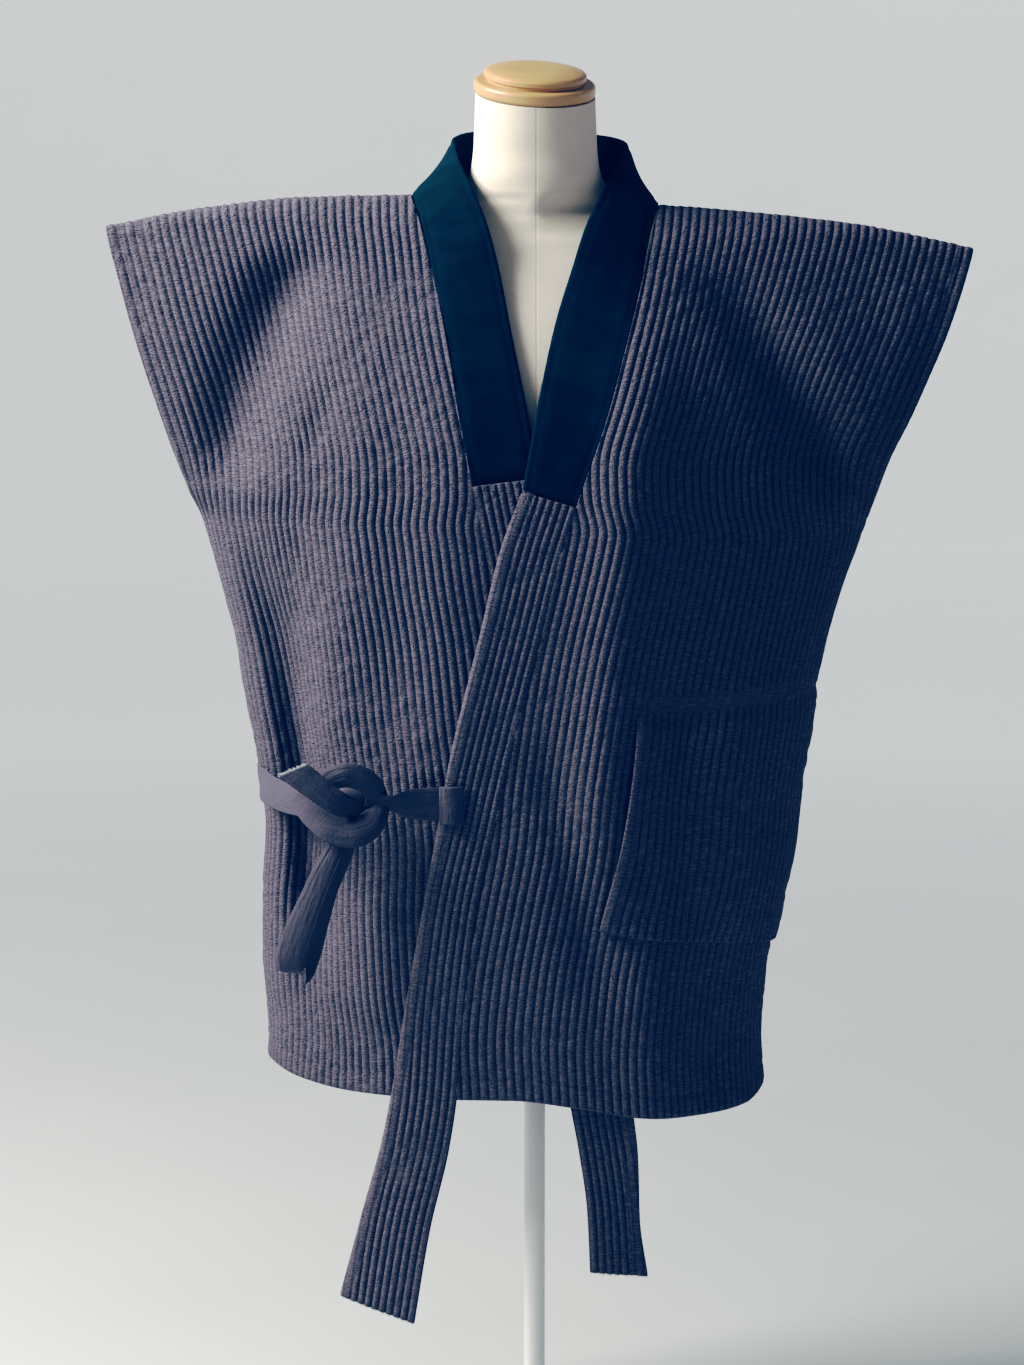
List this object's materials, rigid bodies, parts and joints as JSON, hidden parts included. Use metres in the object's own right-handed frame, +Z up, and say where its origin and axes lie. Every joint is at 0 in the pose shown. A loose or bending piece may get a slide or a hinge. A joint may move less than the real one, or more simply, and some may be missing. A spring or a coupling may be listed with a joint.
{
  "type": "sleeveless samue on a limbless dress form",
  "caption": "Quilted sleeveless wrap vest with a plain dark collar, front bands ending in tails, a patch pocket and a side tie, worn by a limbless dress form on a round-based stand.",
  "frame": {"origin": "centre of the underside of the stand's base, on the floor", "axes": "+Z up, the garment's front faces -Y, +X to the right as seen from the front"},
  "size_m": [0.7686, 0.2964, 1.2549],
  "materials": {
    "quilted_cotton": "matt channel-quilted cotton, dark grey-violet",
    "collar_cloth": "matt napped cloth, near-black blue",
    "tie_cloth": "matt topstitched cotton, dark grey-violet",
    "form_cover": "matt natural linen",
    "cap_wood": "satin varnished turned wood",
    "stand_paint": "satin off-white paint"
  },
  "bodies": {
    "root": {"back": "quilted_cotton", "front_under": "quilted_cotton", "front_over": "quilted_cotton", "band_under": "quilted_cotton", "band_over": "quilted_cotton", "pocket": "quilted_cotton", "collar": "collar_cloth", "tie_tab": "tie_cloth", "tie_from_band": "tie_cloth", "tie_from_side": "tie_cloth", "tie_loop": "tie_cloth", "tie_end": "tie_cloth", "knot": "tie_cloth", "form_body": "form_cover", "cap_ring": "cap_wood", "cap_disc": "cap_wood", "pole": "stand_paint", "base": "stand_paint"}
  },
  "joints": []
}
